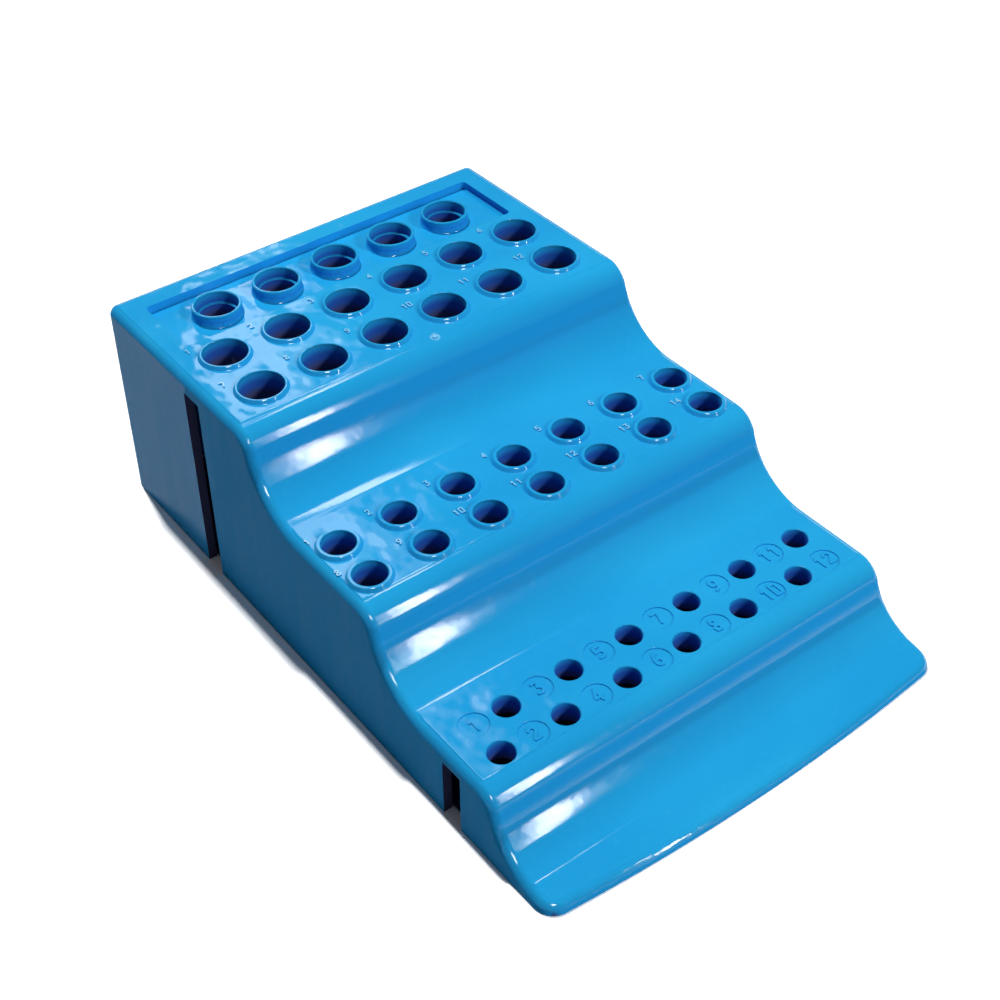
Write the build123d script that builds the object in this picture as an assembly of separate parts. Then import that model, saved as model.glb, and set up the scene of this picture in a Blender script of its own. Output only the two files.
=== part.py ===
from build123d import *
import math
import os

# One-piece moulded rack for microcentrifuge tubes: a hollow, open-bottomed
# shell whose top steps down in three terraces joined by S-shaped slopes.
# Millimetres. X is the width, -Y the low front lip, +Z up, floor at Z = 0.

# ---- overall body -------------------------------------------------------
WIDTH = 115.0               # across the side walls, at the floor
LENGTH = 183.6              # back wall to the middle of the front lip
DRAFT = 1.75                # lean of the outside walls, degrees
WALL = 2.3                  # thickness of walls, terraces and slopes
EDGE_ROUND = 2.4            # rounding between the top skin and the walls
FRONT_BOW = 3.1             # how far the lip bulges forward at its middle
FRONT_CORNER = 5.0          # plan radius of the two front corners
BACK_CORNER = 4.2           # plan radius of the two back corners

# ---- terraces and slopes ------------------------------------------------
TOP_LEVEL = 56.6            # height of the 1.5 ml terrace
MID_LEVEL = 38.2            # height of the 0.5 ml terrace
LOW_LEVEL = 19.55           # height of the 0.2 ml terrace
TOP_DEPTH = 69.1            # from the back wall to the sharp brink of the top terrace
MID_BRINK = -25.8           # Y of the sharp brink of the mid terrace
LIP_DEPTH = 22.9            # from the sharp brink of the low terrace to the front
SLOPE = 73.5                # steepness of the slopes, degrees
LIP_SLOPE = 11.0            # fall of the front lip, degrees
LIP_LEVEL = 1.9             # top of the lip at its front edge
BRINK_ROUND = 7.2           # convex rounding at the head of a slope
FOOT_ROUND = 17.4           # concave rounding at the foot of a slope
LIP_ROUND = 15.3            # concave rounding into the front lip

# ---- tube holes ---------------------------------------------------------
BIG_BORE = 11.0             # holes for 1.5 ml tubes
BIG_PITCH = 17.25
BACK_HOLES = 5              # holes in the back row
BIG_HOLES = 6               # holes in each of the next two rows
BACK_ROW_INSET = 20.0       # back row, from the back wall
SECOND_ROW_STEP = 19.6      # from the back row to the second
THIRD_ROW_STEP = 16.8       # from the second row to the third
MEDIUM_BORE = 8.1           # holes for 0.5 ml tubes
MEDIUM_PITCH = 16.3
MEDIUM_HOLES = 7            # holes in each of its two rows
FIFTH_ROW_INSET = 9.6       # fifth row, from the brink of its terrace
MEDIUM_ROW_STEP = 12.7      # from the fifth row to the fourth
SMALL_BORE = 6.3            # holes for 0.2 ml tubes
SMALL_PITCH = 17.2
SMALL_PLACES = 12           # places in each small row, holes and discs in turn
SEVENTH_ROW_INSET = 8.3     # seventh row, from the brink of its terrace
SMALL_ROW_STEP = 9.7        # from the seventh row to the sixth
LEDGE_WIDTH = 0.8           # ledge that narrows the holes of the back row
LEDGE_DEPTH = 3.0           # from their rims down to that ledge
SLEEVE_WALL = 1.4           # wall of the sleeves under the holes
BIG_SLEEVE = 13.0           # sleeve lengths, measured down from the rims
MEDIUM_SLEEVE = 10.0
SMALL_SLEEVE = 5.5
MOUTH_ROUND = 0.4           # rounded mouths of the plain small holes

# ---- collars round the larger holes -------------------------------------
COLLAR_HEIGHT = 0.95        # rim above its terrace
BIG_COLLAR = 0.75           # collar thickness at the rim, 1.5 ml holes
MEDIUM_COLLAR = 1.05        # the same, 0.5 ml holes
COLLAR_LEAN = 0.1           # how much a collar widens below its rounded rim
COLLAR_SPREAD = 0.4         # how much it widens in all, down at its terrace
RIM_ROUND = 0.25            # rounding of the collar rims

# ---- recessed bed of the back row ---------------------------------------
POCKET_SIDE = 14.2          # beyond the first and last hole of the back row
POCKET_FRONT = 10.5         # in front of the centres of the back row
POCKET_BACK = 10.8          # behind them
POCKET_DEPTH = 2.1
POCKET_CORNER = 1.2

# ---- slots in both side walls, open at the floor ------------------------
BIG_SLOT_AHEAD = 4.8        # middle of the tall slots, in front of the second row
BIG_SLOT_WIDTH = 6.9
BIG_SLOT_HEAD = 4.3         # from their top up to the top terrace
SMALL_SLOT_WIDTH = 6.3      # low slots, midway between the two front rows
SMALL_SLOT_HEAD = 3.35      # from their top up to the low terrace

# ---- position marks -----------------------------------------------------
DISC_BORE = 6.9             # shallow round recess behind each large numeral
DISC_DEPTH = 0.3
DISC_NUMERAL = 3.9          # height of the numeral standing in it
DISC_STROKE = 0.62
FINE_NUMERAL = 2.0          # height of the fine numerals beside the big holes
FINE_STROKE = 0.34
DIGIT_GAP = 1.9             # between the digits of a number, in stroke widths
MARK_RAISE = 0.3            # how far every numeral stands up
MARK_GAP = 2.1              # from a collar to its fine numeral
GATE_INSET = 4.3            # moulding gate's mark, from the top terrace's brink
GATE_RADIUS = 1.7
GATE_DEPTH = 0.35

# ---- derived sizes ------------------------------------------------------
BACK_Y = LENGTH / 2
FRONT_Y = -LENGTH / 2
TOP_BRINK = BACK_Y - TOP_DEPTH
LOW_BRINK = FRONT_Y + LIP_DEPTH
BACK_ROW_Y = BACK_Y - BACK_ROW_INSET
SECOND_ROW_Y = BACK_ROW_Y - SECOND_ROW_STEP
THIRD_ROW_Y = SECOND_ROW_Y - THIRD_ROW_STEP
FIFTH_ROW_Y = MID_BRINK + FIFTH_ROW_INSET
FOURTH_ROW_Y = FIFTH_ROW_Y + MEDIUM_ROW_STEP
SEVENTH_ROW_Y = LOW_BRINK + SEVENTH_ROW_INSET
SIXTH_ROW_Y = SEVENTH_ROW_Y + SMALL_ROW_STEP
NECK_BORE = BIG_BORE - 2 * LEDGE_WIDTH
POCKET_WIDTH = (BACK_HOLES - 1) * BIG_PITCH + 2 * POCKET_SIDE
POCKET_LENGTH = POCKET_FRONT + POCKET_BACK
POCKET_Y = BACK_ROW_Y + (POCKET_BACK - POCKET_FRONT) / 2
BIG_SLOT_Y = SECOND_ROW_Y - BIG_SLOT_AHEAD
BIG_SLOT_TOP = TOP_LEVEL - BIG_SLOT_HEAD
SMALL_SLOT_Y = (SIXTH_ROW_Y + SEVENTH_ROW_Y) / 2
SMALL_SLOT_TOP = LOW_LEVEL - SMALL_SLOT_HEAD
GATE_Y = TOP_BRINK + GATE_INSET
LEAN = math.tan(math.radians(DRAFT))
STEEP = math.tan(math.radians(SLOPE))
LIP_FALL = math.tan(math.radians(LIP_SLOPE))
POCKET_FLOOR = TOP_LEVEL - POCKET_DEPTH
BIG_RIM = TOP_LEVEL + COLLAR_HEIGHT
MEDIUM_RIM = MID_LEVEL + COLLAR_HEIGHT

# ---- working allowances -------------------------------------------------
SKIRT = 8.0                 # working length below the floor, trimmed away
BITE = 0.6                  # how far joined pieces run into one another
LEAST_CORNER = 1.0          # plan corners never get sharper than this
SLOPE_FILL = 0.97           # share of a slope its two roundings may take up
UPRIGHT = 0.12              # walls have normals whose Z share is below this


# ---- shell --------------------------------------------------------------
def plan_outline(inset, level):
    """Plan shape of the body at one height: three straight sides, bowed front."""
    grow = -inset - level * LEAN
    half = WIDTH / 2 + grow
    back = BACK_Y + grow
    front = FRONT_Y - grow
    left_front = (-half, front + FRONT_BOW)
    right_front = (half, front + FRONT_BOW)
    bow = ThreePointArc(left_front, (0, front), right_front)
    sides = Polyline(right_front, (half, back), (-half, back), left_front)
    face = make_face([bow, sides])
    by_y = sorted(face.vertices(), key=lambda v: v.Y)
    face = fillet(by_y[2:], max(BACK_CORNER + grow, LEAST_CORNER))
    by_y = sorted(face.vertices(), key=lambda v: v.Y)
    return fillet(by_y[:2], max(FRONT_CORNER + grow, LEAST_CORNER))


def leaning_block(inset):
    """Block of the plan outline with leaning walls, started below the floor."""
    base = Pos(0, 0, -SKIRT) * plan_outline(inset, -SKIRT)
    return extrude(base, amount=TOP_LEVEL + 2 * SKIRT, taper=DRAFT, dir=(0, 0, 1))


def wave_corners():
    """Corner points (y, z) of the terraced top, from back to front."""
    down_to_mid = (TOP_LEVEL - MID_LEVEL) / STEEP
    down_to_low = (MID_LEVEL - LOW_LEVEL) / STEEP
    lip_run = LIP_LEVEL - LIP_FALL * FRONT_Y
    meet_y = (lip_run - LOW_LEVEL + STEEP * LOW_BRINK) / (STEEP - LIP_FALL)
    meet_z = LOW_LEVEL + STEEP * (meet_y - LOW_BRINK)
    end_y = FRONT_Y - 2 * SKIRT
    return [
        (BACK_Y + 2 * SKIRT, TOP_LEVEL),
        (TOP_BRINK, TOP_LEVEL),
        (TOP_BRINK - down_to_mid, MID_LEVEL),
        (MID_BRINK, MID_LEVEL),
        (MID_BRINK - down_to_low, LOW_LEVEL),
        (LOW_BRINK, LOW_LEVEL),
        (meet_y, meet_z),
        (end_y, LIP_LEVEL + LIP_FALL * (end_y - FRONT_Y)),
    ]


def lowered(corners, drop):
    """The same corner points moved square to the profile, into the body."""
    moved = []
    for i, (y, z) in enumerate(corners):
        y0, z0 = corners[max(i - 1, 0)]
        y1, z1 = corners[min(i + 1, len(corners) - 1)]
        before = Vector(y - y0, z - z0) if i > 0 else Vector(y1 - y, z1 - z)
        after = Vector(y1 - y, z1 - z) if i < len(corners) - 1 else before
        a = before.normalized()
        b = after.normalized()
        down = Vector(-a.Y - b.Y, a.X + b.X) / (1 + a.dot(b))
        moved.append((y + drop * down.X, z + drop * down.Y))
    return moved


def tangent_run(corners, i, radius):
    """Length a rounding of this radius takes from each side of corner i."""
    y, z = corners[i]
    before = Vector(y - corners[i - 1][0], z - corners[i - 1][1])
    after = Vector(corners[i + 1][0] - y, corners[i + 1][1] - z)
    turn = math.radians(before.get_angle(after))
    return radius * math.tan(turn / 2)


def wave_radii(corners):
    """Rounding of each corner, eased where a slope is too short for it."""
    radii = [BRINK_ROUND, FOOT_ROUND, BRINK_ROUND, FOOT_ROUND, BRINK_ROUND, LIP_ROUND]
    for head in (1, 3, 5):
        run_y = corners[head + 1][0] - corners[head][0]
        run_z = corners[head + 1][1] - corners[head][1]
        free = SLOPE_FILL * math.hypot(run_y, run_z)
        needed = tangent_run(corners, head, radii[head - 1])
        needed += tangent_run(corners, head + 1, radii[head])
        ease = min(1.0, free / needed)
        radii[head - 1] *= ease
        radii[head] *= ease
    return radii


def under_wave(drop):
    """Everything under the terraced top, or under a copy lowered by a drop."""
    outer = wave_corners()
    corners = lowered(outer, drop)
    signs = [-1, 1, -1, 1, -1, 1]
    radii = [r + s * drop for r, s in zip(wave_radii(outer), signs)]
    top = FilletPolyline(*corners, radius=radii)
    floor_back = (corners[0][0], -2 * SKIRT)
    floor_front = (corners[-1][0], -2 * SKIRT)
    sides = Polyline(corners[-1], floor_front, floor_back, corners[0])
    section = make_face([*top.edges(), *sides.edges()])
    across = WIDTH + 2 * SKIRT
    upright = Plane.YZ.offset(-across / 2) * section
    return extrude(upright, amount=across, dir=(1, 0, 0))


def rounded_body():
    """Outside shape with the rounding carried right round the top edge."""
    body = (leaning_block(0) & under_wave(0)).solid()
    skin = body.faces().filter_by(lambda f: f.normal_at().Z > UPRIGHT)
    walls = body.faces().filter_by(lambda f: abs(f.normal_at().Z) < UPRIGHT)
    wall_edges = walls.edges()
    brim = [e for e in skin.edges() if e in wall_edges]
    return fillet(brim, EDGE_ROUND)


def make_shell():
    """Hollow shell open underneath, standing on the rim of its walls."""
    cavity = leaning_block(WALL) & under_wave(WALL)
    shell = rounded_body() - cavity
    below = Pos(0, 0, -LENGTH) * Box(2 * LENGTH, 2 * LENGTH, 2 * LENGTH)
    return shell - below


# ---- turned features: sleeves, collars and bores ------------------------
def turned(points):
    """Solid of revolution about Z from (radius, height) corner points."""
    outline = Polyline(*[(r, 0, z) for r, z in points], close=True)
    return revolve(make_face(outline), Axis.Z, 360)


def sleeve(bore, head, end):
    """Plain tube under a hole, from inside the skin down to its open end."""
    outer = bore / 2 + SLEEVE_WALL
    return turned([(0, head - BITE), (outer, head - BITE), (outer, end), (0, end)])


def collar(bore, thickness, rim, terrace):
    """Raised ring round a hole, a little wider where it leaves the terrace."""
    top = bore / 2 + thickness
    foot = top + COLLAR_SPREAD
    return turned([
        (0, rim),
        (top - RIM_ROUND, rim),
        (top, rim - RIM_ROUND),
        (top + COLLAR_LEAN, terrace + COLLAR_SPREAD),
        (foot, terrace),
        (foot, terrace - BITE),
        (0, terrace - BITE),
    ])


def bore_cut(bore, rim, low, round_over):
    """Round cut down to a low level, its mouth eased by a small round-over."""
    r = bore / 2
    halfway = round_over * (1 - math.sqrt(0.5))
    return turned([
        (0, rim + BITE),
        (r + round_over, rim + BITE),
        (r + round_over, rim),
        (r + halfway, rim - halfway),
        (r, rim - round_over),
        (r, low),
        (0, low),
    ])


def stepped_cut(rim, low):
    """Bore of the back row: wide to its ledge, then a narrower throat."""
    wide = BIG_BORE / 2
    neck = NECK_BORE / 2
    ledge = rim - LEDGE_DEPTH
    return turned([
        (0, rim + BITE),
        (wide + RIM_ROUND, rim + BITE),
        (wide + RIM_ROUND, rim),
        (wide, rim - RIM_ROUND),
        (wide, ledge),
        (neck + RIM_ROUND, ledge),
        (neck, ledge - RIM_ROUND),
        (neck, low),
        (0, low),
    ])


def spread(count, pitch, y):
    """Centres of a row of holes, even about the centre line."""
    first = -(count - 1) * pitch / 2
    return [Location((first + i * pitch, y, 0)) for i in range(count)]


back_row = spread(BACK_HOLES, BIG_PITCH, BACK_ROW_Y)
second_row = spread(BIG_HOLES, BIG_PITCH, SECOND_ROW_Y)
third_row = spread(BIG_HOLES, BIG_PITCH, THIRD_ROW_Y)
fourth_row = spread(MEDIUM_HOLES, MEDIUM_PITCH, FOURTH_ROW_Y)
fifth_row = spread(MEDIUM_HOLES, MEDIUM_PITCH, FIFTH_ROW_Y)
sixth_line = spread(SMALL_PLACES, SMALL_PITCH / 2, SIXTH_ROW_Y)
seventh_line = spread(SMALL_PLACES, SMALL_PITCH / 2, SEVENTH_ROW_Y)
small_row = sixth_line[1::2] + seventh_line[0::2]
disc_row = sixth_line[0::2] + seventh_line[1::2]


# ---- numerals -----------------------------------------------------------
# Strokes of each digit on a grid two wide and four high, from its lower left.
STROKES = {
    "0": [[(0, 0), (2, 0), (2, 4), (0, 4), (0, 0)]],
    "1": [[(0.4, 3.3), (1.2, 4), (1.2, 0)]],
    "2": [[(0, 3.3), (0.6, 4), (1.6, 4), (2, 3.2), (2, 2.5), (0, 0), (2, 0)]],
    "3": [[(0, 4), (2, 4), (1, 2.4), (2, 1.7), (2, 0.7), (1.3, 0), (0, 0.2)]],
    "4": [[(1.6, 0), (1.6, 4), (0, 1.2), (2.2, 1.2)]],
    "5": [[(2, 4), (0.2, 4), (0, 2.2), (1.4, 2.4), (2, 1.6), (2, 0.7), (1.3, 0), (0, 0.1)]],
    "6": [[(1.8, 4), (0.8, 3.6), (0, 2), (0, 0.6), (0.6, 0), (1.5, 0), (2, 0.7),
           (2, 1.5), (1.4, 2.2), (0.2, 1.9)]],
    "7": [[(0, 4), (2, 4), (0.8, 0)]],
    "8": [[(0.3, 0), (1.7, 0), (2, 1), (0.1, 3), (0.4, 4), (1.6, 4), (1.9, 3), (0, 1),
           (0.3, 0)]],
    "9": [[(0.2, 0), (1.2, 0.4), (2, 2), (2, 3.4), (1.4, 4), (0.5, 4), (0, 3.3),
           (0, 2.5), (0.6, 1.8), (1.8, 2.1)]],
}


def numeral(text, height, stroke, base):
    """Number standing up from a level, centred on the origin."""
    grid = (height - stroke) / 4
    step = 2 * grid + DIGIT_GAP * stroke
    start = -((len(text) - 1) * step + 2 * grid) / 2
    bars = []
    for place, digit in enumerate(text):
        for line in STROKES[digit]:
            spots = [Vector(start + place * step + x * grid, (y - 2) * grid) for x, y in line]
            for a, b in zip(spots, spots[1:]):
                run = b - a
                turn = math.degrees(math.atan2(run.Y, run.X))
                middle = Location(((a.X + b.X) / 2, (a.Y + b.Y) / 2, 0), (0, 0, turn))
                bars.append(middle * SlotCenterToCenter(run.length, stroke))
    shape = Sketch() + bars
    return extrude(Pos(0, 0, base - BITE / 2) * shape, amount=BITE / 2 + MARK_RAISE)


# ---- whole rack ---------------------------------------------------------
def side_slots():
    """Notches through both side walls, up from the floor."""
    cuts = []
    for y, width, top in (
        (BIG_SLOT_Y, BIG_SLOT_WIDTH, BIG_SLOT_TOP),
        (SMALL_SLOT_Y, SMALL_SLOT_WIDTH, SMALL_SLOT_TOP),
    ):
        for side in (-1, 1):
            notch = Box(4 * WALL, width, 2 * top)
            cuts.append(Pos(side * WIDTH / 2, y, 0) * notch)
    return cuts


def pocket_cut():
    """Recessed bed in the top terrace, square-edged with small corners."""
    bed = RectangleRounded(POCKET_WIDTH, POCKET_LENGTH, POCKET_CORNER)
    return extrude(Pos(0, POCKET_Y, POCKET_FLOOR) * bed, amount=POCKET_DEPTH + BITE)


def pocket_floor():
    """Thicker skin that carries the recessed bed."""
    height = POCKET_DEPTH + BITE
    slab = Box(POCKET_WIDTH + 2 * WALL, POCKET_LENGTH + 2 * WALL, height)
    return Pos(0, POCKET_Y, POCKET_FLOOR - WALL + height / 2) * slab


def gate_mark():
    """Shallow dimple left by the moulding gate, with its broken-off stub."""
    ball = (GATE_RADIUS ** 2 + GATE_DEPTH ** 2) / (2 * GATE_DEPTH)
    dimple = Pos(0, GATE_Y, TOP_LEVEL + ball - GATE_DEPTH) * Sphere(ball)
    stub = Pos(0, GATE_Y, TOP_LEVEL - GATE_DEPTH) * Cone(
        GATE_RADIUS / 2, GATE_RADIUS / 3, 2 * GATE_DEPTH
    )
    return dimple, stub


def fine_marks(rows, bore, level):
    """Small position numerals, up and to the left of each hole."""
    marks = []
    shift = bore / 2 + MARK_GAP
    for number, at in enumerate(rows, start=1):
        mark = numeral(str(number), FINE_NUMERAL, FINE_STROKE, level)
        marks.append(at * Pos(-shift + FINE_NUMERAL / 2, shift - FINE_NUMERAL / 2, 0) * mark)
    return marks


def build_rack():
    """The finished moulding."""
    rack = make_shell() + pocket_floor() - pocket_cut()

    big_end = BIG_RIM - BIG_SLEEVE
    medium_end = MEDIUM_RIM - MEDIUM_SLEEVE
    small_end = LOW_LEVEL - SMALL_SLEEVE
    back_parts = (
        collar(BIG_BORE, BIG_COLLAR, BIG_RIM, POCKET_FLOOR),
        sleeve(BIG_BORE, POCKET_FLOOR, big_end),
    )
    big_parts = (
        collar(BIG_BORE, BIG_COLLAR, BIG_RIM, TOP_LEVEL),
        sleeve(BIG_BORE, TOP_LEVEL, big_end),
    )
    medium_parts = (
        collar(MEDIUM_BORE, MEDIUM_COLLAR, MEDIUM_RIM, MID_LEVEL),
        sleeve(MEDIUM_BORE, MID_LEVEL, medium_end),
    )
    small_sleeve = sleeve(SMALL_BORE, LOW_LEVEL, small_end)
    big_rows = second_row + third_row
    medium_rows = fourth_row + fifth_row
    added = [at * part for at in back_row for part in back_parts]
    added += [at * part for at in big_rows for part in big_parts]
    added += [at * part for at in medium_rows for part in medium_parts]
    added += [at * small_sleeve for at in small_row]
    rack = rack + added

    back_bore = stepped_cut(BIG_RIM, big_end - BITE)
    big_bore = bore_cut(BIG_BORE, BIG_RIM, big_end - BITE, RIM_ROUND)
    medium_bore = bore_cut(MEDIUM_BORE, MEDIUM_RIM, medium_end - BITE, RIM_ROUND)
    small_bore = bore_cut(SMALL_BORE, LOW_LEVEL, small_end - BITE, MOUTH_ROUND)
    disc_floor = LOW_LEVEL - DISC_DEPTH
    disc = bore_cut(DISC_BORE, LOW_LEVEL, disc_floor, DISC_DEPTH / 2)
    dimple, stub = gate_mark()
    removed = [at * back_bore for at in back_row]
    removed += [at * big_bore for at in big_rows]
    removed += [at * medium_bore for at in medium_rows]
    removed += [at * small_bore for at in small_row]
    removed += [at * disc for at in disc_row]
    removed += side_slots()
    removed.append(dimple)
    rack = rack - removed

    marks = fine_marks(big_rows, BIG_BORE, TOP_LEVEL)
    marks += fine_marks(medium_rows, MEDIUM_BORE, MID_LEVEL)
    for i in range(SMALL_PLACES):
        line = sixth_line if i % 2 == 0 else seventh_line
        mark = numeral(str(i + 1), DISC_NUMERAL, DISC_STROKE, disc_floor)
        marks.append(line[i] * mark)
    marks.append(stub)
    return rack + marks


rack = build_rack()
os.makedirs("parts", exist_ok=True)
export_step(rack, "parts/rack_body.step")
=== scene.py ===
import math
from types import SimpleNamespace

import bmesh
import bpy
from mathutils import Matrix, Vector


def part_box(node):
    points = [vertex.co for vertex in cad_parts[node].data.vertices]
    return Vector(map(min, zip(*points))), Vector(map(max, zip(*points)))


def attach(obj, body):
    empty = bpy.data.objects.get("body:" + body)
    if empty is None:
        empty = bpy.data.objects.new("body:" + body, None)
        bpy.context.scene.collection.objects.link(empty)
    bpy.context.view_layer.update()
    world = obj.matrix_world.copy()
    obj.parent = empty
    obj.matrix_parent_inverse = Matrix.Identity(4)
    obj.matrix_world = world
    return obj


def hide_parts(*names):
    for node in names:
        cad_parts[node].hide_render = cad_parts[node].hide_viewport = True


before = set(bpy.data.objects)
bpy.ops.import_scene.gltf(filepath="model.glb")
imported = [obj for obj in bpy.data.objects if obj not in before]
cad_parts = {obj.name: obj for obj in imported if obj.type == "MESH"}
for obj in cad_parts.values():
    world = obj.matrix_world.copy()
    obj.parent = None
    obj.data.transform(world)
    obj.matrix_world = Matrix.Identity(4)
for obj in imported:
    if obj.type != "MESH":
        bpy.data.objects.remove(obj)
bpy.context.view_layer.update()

# A tube rack moulded in one piece: glossy sky-blue plastic, three terraces.
# Metres. +Z is up, -Y the low front lip.

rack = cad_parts["rack_body"]
low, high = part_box("rack_body")

# ---- mesh -----------------------------------------------------------------
SHARP_EDGE = math.cos(math.radians(36))   # edges sharper than this stay crisp
SAME_PLANE = math.cos(math.radians(0.3))  # faces that turn less than this are one flat
SEAM_GAP = 0.000004                       # corners nearer than this are one

# ---- places on the rack, metres -------------------------------------------
# A pair is where a change starts and where it is complete.
WALL = 0.0023                           # thickness of the walls
COLLAR = 0.00095                        # the collars stand this far over a terrace
TOP_TERRACE = high.z - COLLAR           # heights of the three terraces
MID_TERRACE = TOP_TERRACE - 0.0184
LOW_TERRACE = MID_TERRACE - 0.01865
TOP_SLOPE = (0.0140, 0.0145)            # along Y, in the foot of each slope
MID_SLOPE = (-0.0315, -0.0310)
BEHIND_TALL_SLOTS = (0.0500, 0.0505)
POCKET_BACK = (0.0805, 0.0810)          # along Y, just short of the pocket's back wall
POCKET_HEIGHT = (0.0500, 0.0505)        # under this it is the hollow, not the pocket
HOLLOW_SIDE = high.x - WALL             # from the middle to the walls' inner faces
HOLLOW_END = high.y - WALL
SIDE_WALLS = (HOLLOW_SIDE - 0.0008, HOLLOW_SIDE)
END_WALLS = (HOLLOW_END - 0.0015, HOLLOW_END - 0.0005)
SIDE_FOOT = (HOLLOW_SIDE - 0.0007, HOLLOW_SIDE)
THROAT_DEPTH = (-0.0005, 0.0022)        # depths under the terrace's skin
HOLLOW_DEPTH = (0.0024, 0.0056)
RAISED_HEIGHT = (0.00002, 0.00020)      # heights over the terrace's skin
NUMBER_TOP_FROM = (0.00024, 0.00027)
NUMBER_TOP_TO = (0.00033, 0.00036)
GATE_ALONG = 0.0270                     # moulding gate mark, on the centre line
GATE_RADIUS = (0.0007, 0.0015)
GATE_FLOOR = (-0.0008, -0.0006)         # the gate's dimple is no deeper than this

# ---- lean of the surface --------------------------------------------------
# Lift is the upward part of the normal: 1 on a flat, 0 on a wall.
UPRIGHT_LIFT = (0.06, 0.22)
POLISHED_LIFT = (0.34, 0.50)
STEEP_LIFT = (0.35, 0.80)
GATE_LIFT = (0.80, 0.95)
FLAT_LIFT = (0.975, 0.998)
LEVEL_LIFT = (0.992, 0.998)
SIDEWAYS_LEAN = (0.50, 0.80)            # squares of the normal's part along X
LENGTHWAYS_LEAN = (0.50, 0.70)          # and along Y

# ---- colours, linear ------------------------------------------------------
SKY_BLUE = (0.017, 0.385, 0.745, 1.0)
DEEP_BLUE = (0.012, 0.335, 0.695, 1.0)
HAZE_BLUE = (0.028, 0.415, 0.770, 1.0)
# Painted light: the steep faces are painted a lighter, bluer blue, standing in for light they
# would otherwise reflect.
PAINTED_STEEP_LIGHT = (0.018, 0.385, 0.850, 1.0)
# Painted shade: near the mouth of the holes and slots, and darker deeper inside them and in the
# hollow.
PAINTED_THROAT_SHADE = (0.026, 0.130, 0.560, 1.0)
PAINTED_HOLLOW_SHADE = (0.085, 0.090, 0.200, 1.0)
# Painted highlight: the tops of the raised numbers and the gate mark are painted pale.
PAINTED_HIGHLIGHT_BLUE = (0.240, 0.600, 0.860, 1.0)
PLAIN_WHITE = (1.0, 1.0, 1.0, 1.0)
PAPER_WHITE = (1.5, 1.5, 1.5, 1.0)
# Painted shadow: the floor under the rack is painted dark.
PAINTED_SHADOW_UNDER_RACK = (0.05, 0.05, 0.09, 1.0)
BOUNCE_GREY = (0.275, 0.284, 0.302, 1.0)
DIM_AIR = (0.9, 0.95, 1.0, 1.0)
DIM_AIR_STRENGTH = 0.08

# ---- finish ---------------------------------------------------------------
PLASTIC_IOR = 1.49
TOP_SPECULAR = 0.5
SIDE_SPECULAR = 0.012
TOP_ROUGHNESS = 0.070
MOTTLE_ROUGHNESS = 0.04                 # the most that each of these adds
SCUFF_ROUGHNESS = 0.05
SIDE_ROUGHNESS = 0.34
DRAG_ROUGHNESS = 0.12
BACK_GLOSS = 0.15                       # polish of the walls behind the tall slots
HAZE = 0.35                             # the most that haze and the painted highlights cover
HIGHLIGHT_SHARE = 0.8
FLOW_BAND = (0.35, 0.7)                 # values between which a noise comes to show
HAZE_BAND = (0.55, 0.85)
MOTTLE_BAND = (0.40, 0.8)
SCUFF_BAND = (0.6, 0.8)
DRAG_BAND = (0.3, 0.7)
TOP_RELIEF = {"flow": 0.15, "sink": 2.2, "mottle": 0.06, "scuffs": 0.0035}
SIDE_RELIEF = {"drag": 0.3, "mottle": 0.05}

# ---- stage ----------------------------------------------------------------
FLOOR_REACH = 6.0
FLOOR_GAP = 0.00002                     # the floor lies this far under the foot
FLOOR_FADE = (0.45, 0.90)               # radii between which it turns plain white
AIM = Vector((0, -0.01, 0.035))         # point that the lamps face
LAMP_DISTANCE = 1.5
ROOF_TURN = math.radians(-18)
CAMERA_PLACE = (-0.17653, -0.24489, 0.28086)
CAMERA_TURN = (49.47815, 1.66636, -36.90341)
CAMERA_LENS = 58.891
CAMERA_SENSOR = 36.0
CAMERA_CLIP = 0.01


# ---- shader writing -------------------------------------------------------
class Signal:
    """A socket's value, on which arithmetic adds the Math nodes."""

    def __init__(self, finish, socket):
        self.finish = finish
        self.socket = socket

    def _math(self, operation, first, second):
        return self.finish.node("ShaderNodeMath", {"operation": operation}, {0: first, 1: second})

    def __add__(self, other):
        return self._math("ADD", self, other)

    def __radd__(self, other):
        return self._math("ADD", other, self)

    def __sub__(self, other):
        return self._math("SUBTRACT", self, other)

    def __rsub__(self, other):
        return self._math("SUBTRACT", other, self)

    def __mul__(self, other):
        return self._math("MULTIPLY", self, other)

    def __rmul__(self, other):
        return self._math("MULTIPLY", other, self)

    def within(self, start, end):
        """0 below start, 1 above end, smooth between."""
        settings = {"interpolation_type": "SMOOTHSTEP"}
        values = {"Value": self, "From Min": start, "From Max": end, "To Min": 0.0, "To Max": 1.0}
        return self.finish.node("ShaderNodeMapRange", settings, values)


def squared(limits):
    """Limits for a squared distance, which is the same on both sides of the middle."""
    return [limit ** 2 for limit in limits]


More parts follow.
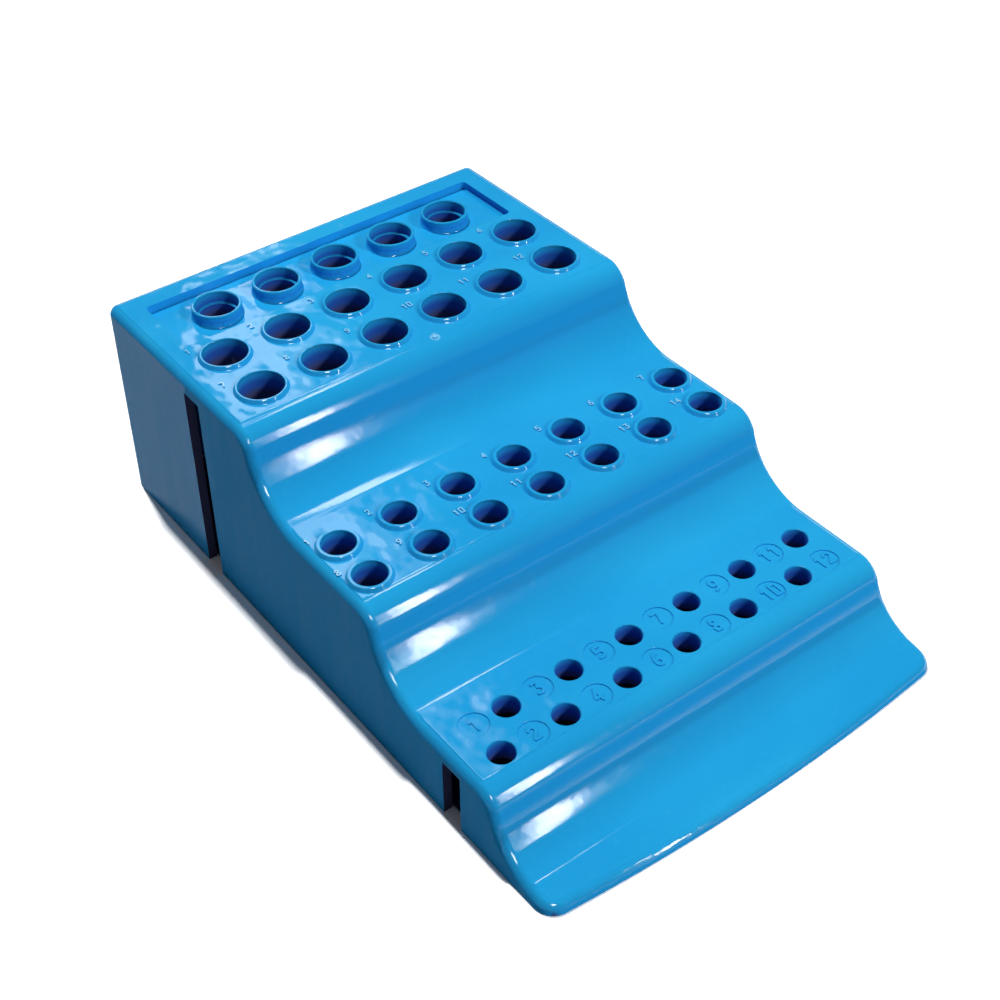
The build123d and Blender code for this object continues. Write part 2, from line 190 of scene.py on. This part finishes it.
class Finish:
    """The node tree of a material or of the world, written as expressions."""

    # A Mix node has a set of sockets for each kind of data. These are the colour's.
    MIX_FIRST, MIX_SECOND, MIX_RESULT = 6, 7, 2

    def __init__(self, owner):
        owner.use_nodes = True
        self.owner = owner
        self.tree = owner.node_tree
        self.tree.nodes.clear()

    def node(self, kind, settings=None, values=None, output=0):
        """Adds a node: its settings first, then its sockets' values or links.

        output is the index or name of the socket that is given back, or a tuple of them.
        """
        made = self.tree.nodes.new(kind)
        for name, setting in (settings or {}).items():
            setattr(made, name, setting)
        for name, value in (values or {}).items():
            socket = made.inputs[name]
            if isinstance(value, Signal):
                self.tree.links.new(value.socket, socket)
            else:
                socket.default_value = value
        if isinstance(output, tuple):
            return [Signal(self, made.outputs[each]) for each in output]
        return Signal(self, made.outputs[output])

    def axes(self, vector):
        """A vector's parts along X, Y and Z."""
        return self.node("ShaderNodeSeparateXYZ", {}, {0: vector}, ("X", "Y", "Z"))

    def mix(self, share, first, second):
        """A colour between two colours."""
        values = {"Factor": share, self.MIX_FIRST: first, self.MIX_SECOND: second}
        return self.node("ShaderNodeMix", {"data_type": "RGBA"}, values, self.MIX_RESULT)

    def noise(self, place, scale, detail, rough=0.5, stretch=(1, 1, 1)):
        """Noise over the object, its grain longer where the stretch is under 1."""
        spot = self.node("ShaderNodeMapping", {}, {"Vector": place, "Scale": stretch})
        values = {"Vector": spot, "Scale": scale, "Detail": detail, "Roughness": rough}
        return self.node("ShaderNodeTexNoise", {}, values)

    def blend(self, share, first, second):
        """A shader between two shaders."""
        return self.node("ShaderNodeMixShader", {}, {0: share, 1: first, 2: second})

    def ends_in(self, shader, output="ShaderNodeOutputMaterial"):
        """Joins the last shader to the output, and gives back the material or world."""
        self.node(output, {}, {"Surface": shader}, ())
        return self.owner


# ---- blue plastic ---------------------------------------------------------
def moulding_zones(finish, place):
    """Masks from 0 to 1 of the parts of the moulding that look different."""
    across, along, up = finish.axes(place)
    lean_x, lean_y, lift = finish.axes(finish.node("ShaderNodeTexCoord", output="Normal"))
    # skin is the level of the terrace here. Heights and depths are counted from it.
    skin = LOW_TERRACE + along.within(*MID_SLOPE) * (MID_TERRACE - LOW_TERRACE)
    skin = skin + along.within(*TOP_SLOPE) * (TOP_TERRACE - MID_TERRACE)
    over = up - skin
    under = skin - up

    upright = 1.0 - lift.within(*UPRIGHT_LIFT)
    slot_cheeks = (lean_y * lean_y).within(*LENGTHWAYS_LEAN)
    within_sides = 1.0 - (across * across).within(*squared(SIDE_WALLS)) * (1.0 - slot_cheeks)
    within_ends = 1.0 - (along * along).within(*squared(END_WALLS))
    enclosed = upright * within_sides * within_ends
    # Inside the holes, slots and hollow under the terraces, where shade is painted into the
    # colour.
    hidden = under.within(*THROAT_DEPTH) * enclosed
    raised = over.within(*RAISED_HEIGHT) * enclosed

    polished = lift.within(*POLISHED_LIFT) * (1.0 - (lean_x * lean_x).within(*SIDEWAYS_LEAN))
    polished = polished + upright * along.within(*BEHIND_TALL_SLOTS) * BACK_GLOSS
    polished = polished + raised * (1.0 - polished)

    # Tops of the raised numbers, where a highlight is painted.
    number_highlight = over.within(*NUMBER_TOP_FROM) * (1.0 - over.within(*NUMBER_TOP_TO))
    number_highlight = number_highlight * lift.within(*LEVEL_LIFT)
    # Around the gate mark, where a highlight is painted.
    past_gate = along - GATE_ALONG
    from_gate = (across * across + past_gate * past_gate).within(*squared(GATE_RADIUS))
    gate_highlight = (1.0 - from_gate) * lift.within(*GATE_LIFT) * over.within(*GATE_FLOOR)
    pocket_back = along.within(*POCKET_BACK) * up.within(*POCKET_HEIGHT)

    return SimpleNamespace(
        polished=polished,
        flat=lift.within(*FLAT_LIFT),
        steep_light=(1.0 - lift.within(*STEEP_LIFT)) * (1.0 - raised),
        number_highlight=number_highlight,
        gate_highlight=gate_highlight,
        throat_shade=hidden * (1.0 - pocket_back),
        hollow_shade=hidden * under.within(*HOLLOW_DEPTH),
    )


def plastic_colour(finish, zone, flow, mottle):
    """Flow lines and haze in the blue, painted highlights on the raised numbers and the gate
    mark, painted light on the steep faces, and painted shade inside the holes.
    """
    colour = finish.mix(flow.within(*FLOW_BAND), DEEP_BLUE, SKY_BLUE)
    colour = finish.mix(mottle.within(*HAZE_BAND) * HAZE, colour, HAZE_BLUE)
    # Painted light: steep faces lighter and bluer.
    colour = finish.mix(zone.steep_light, colour, PAINTED_STEEP_LIGHT)
    # Painted highlights on the number tops and the gate mark.
    colour = finish.mix(zone.number_highlight * HIGHLIGHT_SHARE, colour, PAINTED_HIGHLIGHT_BLUE)
    colour = finish.mix(zone.gate_highlight * HIGHLIGHT_SHARE, colour, PAINTED_HIGHLIGHT_BLUE)
    # Painted shade inside the holes, slots and hollow.
    colour = finish.mix(zone.throat_shade, colour, PAINTED_THROAT_SHADE)
    return finish.mix(zone.hollow_shade, colour, PAINTED_HOLLOW_SHADE)


def plastic_skin(finish, colour, specular, roughness, height, strength, depth):
    """One skin of the plastic, its bump given by height, strength and depth."""
    values = {"Strength": strength, "Distance": depth, "Height": height}
    return finish.node("ShaderNodeBsdfPrincipled", {}, {
        "Base Color": colour,
        "Roughness": roughness,
        "Specular IOR Level": specular,
        "IOR": PLASTIC_IOR,
        "Normal": finish.node("ShaderNodeBump", {}, values),
    })


def blue_plastic():
    """Injection-moulded plastic, taken as polypropylene: glossy on top, duller on the sides."""
    finish = Finish(bpy.data.materials.new("blue_plastic"))
    place = finish.node("ShaderNodeTexCoord", output="Object")
    zone = moulding_zones(finish, place)
    flow = finish.noise(place, scale=26.0, detail=2.0, stretch=(0.6, 1.4, 1.0))
    sink = finish.noise(place, scale=85.0, detail=2.0) * zone.flat
    mottle = finish.noise(place, scale=420.0, detail=3.0, rough=0.6)
    scuffs = finish.noise(place, scale=1400.0, detail=2.0, stretch=(0.35, 1.0, 1.0))
    drag = finish.noise(place, scale=520.0, detail=3.0, rough=0.6, stretch=(1.0, 1.0, 0.03))
    colour = plastic_colour(finish, zone, flow, mottle)

    top_roughness = TOP_ROUGHNESS + mottle.within(*MOTTLE_BAND) * MOTTLE_ROUGHNESS
    top_roughness = top_roughness + scuffs.within(*SCUFF_BAND) * SCUFF_ROUGHNESS
    top_height = flow * TOP_RELIEF["flow"] + sink * TOP_RELIEF["sink"]
    top_height = top_height + mottle * TOP_RELIEF["mottle"] + scuffs * TOP_RELIEF["scuffs"]
    top = plastic_skin(
        finish, colour, TOP_SPECULAR, top_roughness, top_height, strength=0.35, depth=0.0006)

    side_roughness = SIDE_ROUGHNESS + drag.within(*DRAG_BAND) * DRAG_ROUGHNESS
    side_height = drag * SIDE_RELIEF["drag"] + mottle * SIDE_RELIEF["mottle"]
    side = plastic_skin(
        finish, colour, SIDE_SPECULAR, side_roughness, side_height, strength=0.3, depth=0.0003)
    return finish.ends_in(finish.blend(zone.polished, side, top))


# ---- the moulding ---------------------------------------------------------
def flat_patches(mesh):
    """For each face, the area of the flat patch that it belongs to."""
    parent = list(range(len(mesh.faces)))

    def root(i):
        while parent[i] != i:
            parent[i] = parent[parent[i]]
            i = parent[i]
        return i

    for edge in mesh.edges:
        if len(edge.link_faces) == 2:
            first, second = edge.link_faces
            if first.normal.dot(second.normal) > SAME_PLANE:
                parent[root(first.index)] = root(second.index)
    area = {}
    for face in mesh.faces:
        patch = root(face.index)
        area[patch] = area.get(patch, 0.0) + face.calc_area()
    return [area[root(face.index)] for face in mesh.faces]


def moulded_normals(mesh):
    """Normals at each face corner: flats stay flat, roundings run smoothly into them."""
    weight = flat_patches(mesh)
    normals = []
    for face in mesh.faces:
        for corner in face.loops:
            total = Vector()
            for other in corner.vert.link_loops:
                near = other.face
                if face.normal.dot(near.normal) > SHARP_EDGE:
                    total += near.normal * (weight[near.index] * other.calc_angle())
            normals.append(total.normalized())
    return normals


def place_in_scene(name, data):
    """An object of this mesh, lamp or camera, in the scene."""
    made = bpy.data.objects.new(name, data)
    bpy.context.scene.collection.objects.link(made)
    return made


def mould(name, solid, finish):
    """The solid's own mesh, welded along its seams, with worked-out normals."""
    work = bmesh.new()
    work.from_mesh(solid.data)
    bmesh.ops.remove_doubles(work, verts=work.verts, dist=SEAM_GAP)
    bmesh.ops.dissolve_degenerate(work, edges=work.edges, dist=SEAM_GAP)
    work.faces.ensure_lookup_table()
    work.faces.index_update()
    work.normal_update()
    normals = moulded_normals(work)
    mesh = bpy.data.meshes.new(name)
    work.to_mesh(mesh)
    work.free()
    mesh.polygons.foreach_set("use_smooth", [True] * len(mesh.polygons))
    mesh.normals_split_custom_set(normals)
    mesh.materials.clear()
    mesh.materials.append(finish)
    return place_in_scene(name, mesh)


moulding = mould("rack_moulding", rack, blue_plastic())
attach(moulding, "root")
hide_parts("rack_body")


# ---- lamps ----------------------------------------------------------------
def direction(azimuth, elevation):
    """Unit vector: azimuth clockwise from +Y seen from above, degrees."""
    a = math.radians(azimuth)
    e = math.radians(elevation)
    return Vector((math.cos(e) * math.sin(a), math.cos(e) * math.cos(a), math.sin(e)))


def softbox(name, offset, size, radiance, roll=0.0, faces_rack=True, shape="RECTANGLE",
            lights=True, glints=True):
    """Lamp at an offset from the aim. Radiance is what a mirror would show.

    It faces the rack, or else straight down. One that doesn't light only makes
    highlights, and one that doesn't glint makes none.
    """
    lamp = bpy.data.lights.new(name, "AREA")
    lamp.shape = shape
    lamp.size, lamp.size_y = size
    share = math.pi / 4 if shape == "ELLIPSE" else 1.0
    lamp.energy = radiance * size[0] * size[1] * share * math.pi
    box = place_in_scene(name, lamp)
    centre = AIM + offset
    turn = Matrix.Identity(4)
    if faces_rack:
        turn = (centre - AIM).to_track_quat("Z", "Y").to_matrix().to_4x4()
    box.matrix_world = Matrix.Translation(centre) @ turn @ Matrix.Rotation(roll, 4, "Z")
    box.visible_camera = False
    box.visible_diffuse = lights
    box.visible_glossy = glints


softbox("front_strip", offset=LAMP_DISTANCE * direction(azimuth=157.9, elevation=22.7),
        size=(0.056, 0.82), radiance=30.0, roll=math.radians(-8.65), shape="ELLIPSE")
softbox("front_key", offset=LAMP_DISTANCE * direction(azimuth=158.0, elevation=36.0),
        size=(0.14, 0.14), radiance=141.0, glints=False)
softbox("overhead_key", offset=Vector((0.048, 0.504, 1.2)),
        size=(0.050, 0.050), radiance=1720.0, glints=False)
for roof_lamp, offset, size, radiance in (
        ("roof_strip", (0.410, 0.860, 1.0), (0.10, 1.45), 3.4),
        ("roof_halo", (0.437, 0.851, 1.0), (0.145, 1.60), 0.9),
        ("roof_end", (0.380, 0.300, 1.0), (0.09, 0.25), 12.0)):
    softbox(roof_lamp, Vector(offset), size, radiance, roll=ROOF_TURN, faces_rack=False,
            lights=False)
softbox("left_glint", offset=LAMP_DISTANCE * direction(azimuth=205.0, elevation=44.0),
        size=(0.46, 0.46), radiance=20.0, shape="ELLIPSE", lights=False)


# ---- floor and air --------------------------------------------------------
def floor_paint():
    """Pale floor that keeps the shadow, painted dark under the rack as a shadow, plain white far
    away.

    Looked at or mirrored it is paper white, but it lights the rack as a duller grey.
    """
    finish = Finish(bpy.data.materials.new("pale_floor"))
    seen, mirrored, passed = finish.node("ShaderNodeLightPath", output=(
        "Is Camera Ray", "Is Glossy Ray", "Is Transmission Ray"))
    looked_at = seen + mirrored + passed
    across, along, _ = finish.axes(finish.node("ShaderNodeTexCoord", output="Object"))
    between_sides = 1.0 - (across * across).within(*squared(SIDE_FOOT))
    between_ends = 1.0 - (along * along).within(*squared(END_WALLS))
    # Painted shadow: inside the rack's foot the floor is painted dark.
    paper_and_painted_shadow = finish.mix(between_sides * between_ends, PAPER_WHITE, PAINTED_SHADOW_UNDER_RACK)
    dull = finish.node("ShaderNodeBsdfDiffuse", {}, {"Color": BOUNCE_GREY})
    bright = finish.node("ShaderNodeBsdfDiffuse", {}, {"Color": paper_and_painted_shadow})
    near = finish.blend(looked_at, dull, bright)
    far_away = seen * (across * across + along * along).within(*squared(FLOOR_FADE))
    white = finish.node("ShaderNodeEmission", {}, {"Color": PLAIN_WHITE, "Strength": 1.0})
    return finish.ends_in(finish.blend(far_away, near, white))


def studio_air():
    """White where the eye sees past the floor, dim light for everything else."""
    finish = Finish(bpy.data.worlds.new("studio"))
    seen = finish.node("ShaderNodeLightPath", output="Is Camera Ray")
    values = {"Color": DIM_AIR, "Strength": DIM_AIR_STRENGTH}
    dim = finish.node("ShaderNodeBackground", {}, values)
    white = finish.node("ShaderNodeBackground", {}, {"Color": PLAIN_WHITE, "Strength": 1.0})
    return finish.ends_in(finish.blend(seen, dim, white), "ShaderNodeOutputWorld")


corners = [(x, y, 0) for x, y in ((-1, -1), (1, -1), (1, 1), (-1, 1))]
floor = bpy.data.meshes.new("floor")
floor.from_pydata([Vector(corner) * FLOOR_REACH for corner in corners], [], [(0, 1, 2, 3)])
floor.materials.append(floor_paint())
ground = place_in_scene("floor", floor)
ground.location.z = low.z - FLOOR_GAP
bpy.context.scene.world = studio_air()


# ---- camera ---------------------------------------------------------------
view = bpy.data.cameras.new("camera")
view.sensor_width = CAMERA_SENSOR
view.lens = CAMERA_LENS
view.clip_start = CAMERA_CLIP
camera = place_in_scene("camera", view)
camera.location = CAMERA_PLACE
camera.rotation_euler = [math.radians(angle) for angle in CAMERA_TURN]
bpy.context.scene.camera = camera
bpy.context.scene.view_settings.view_transform = "Standard"
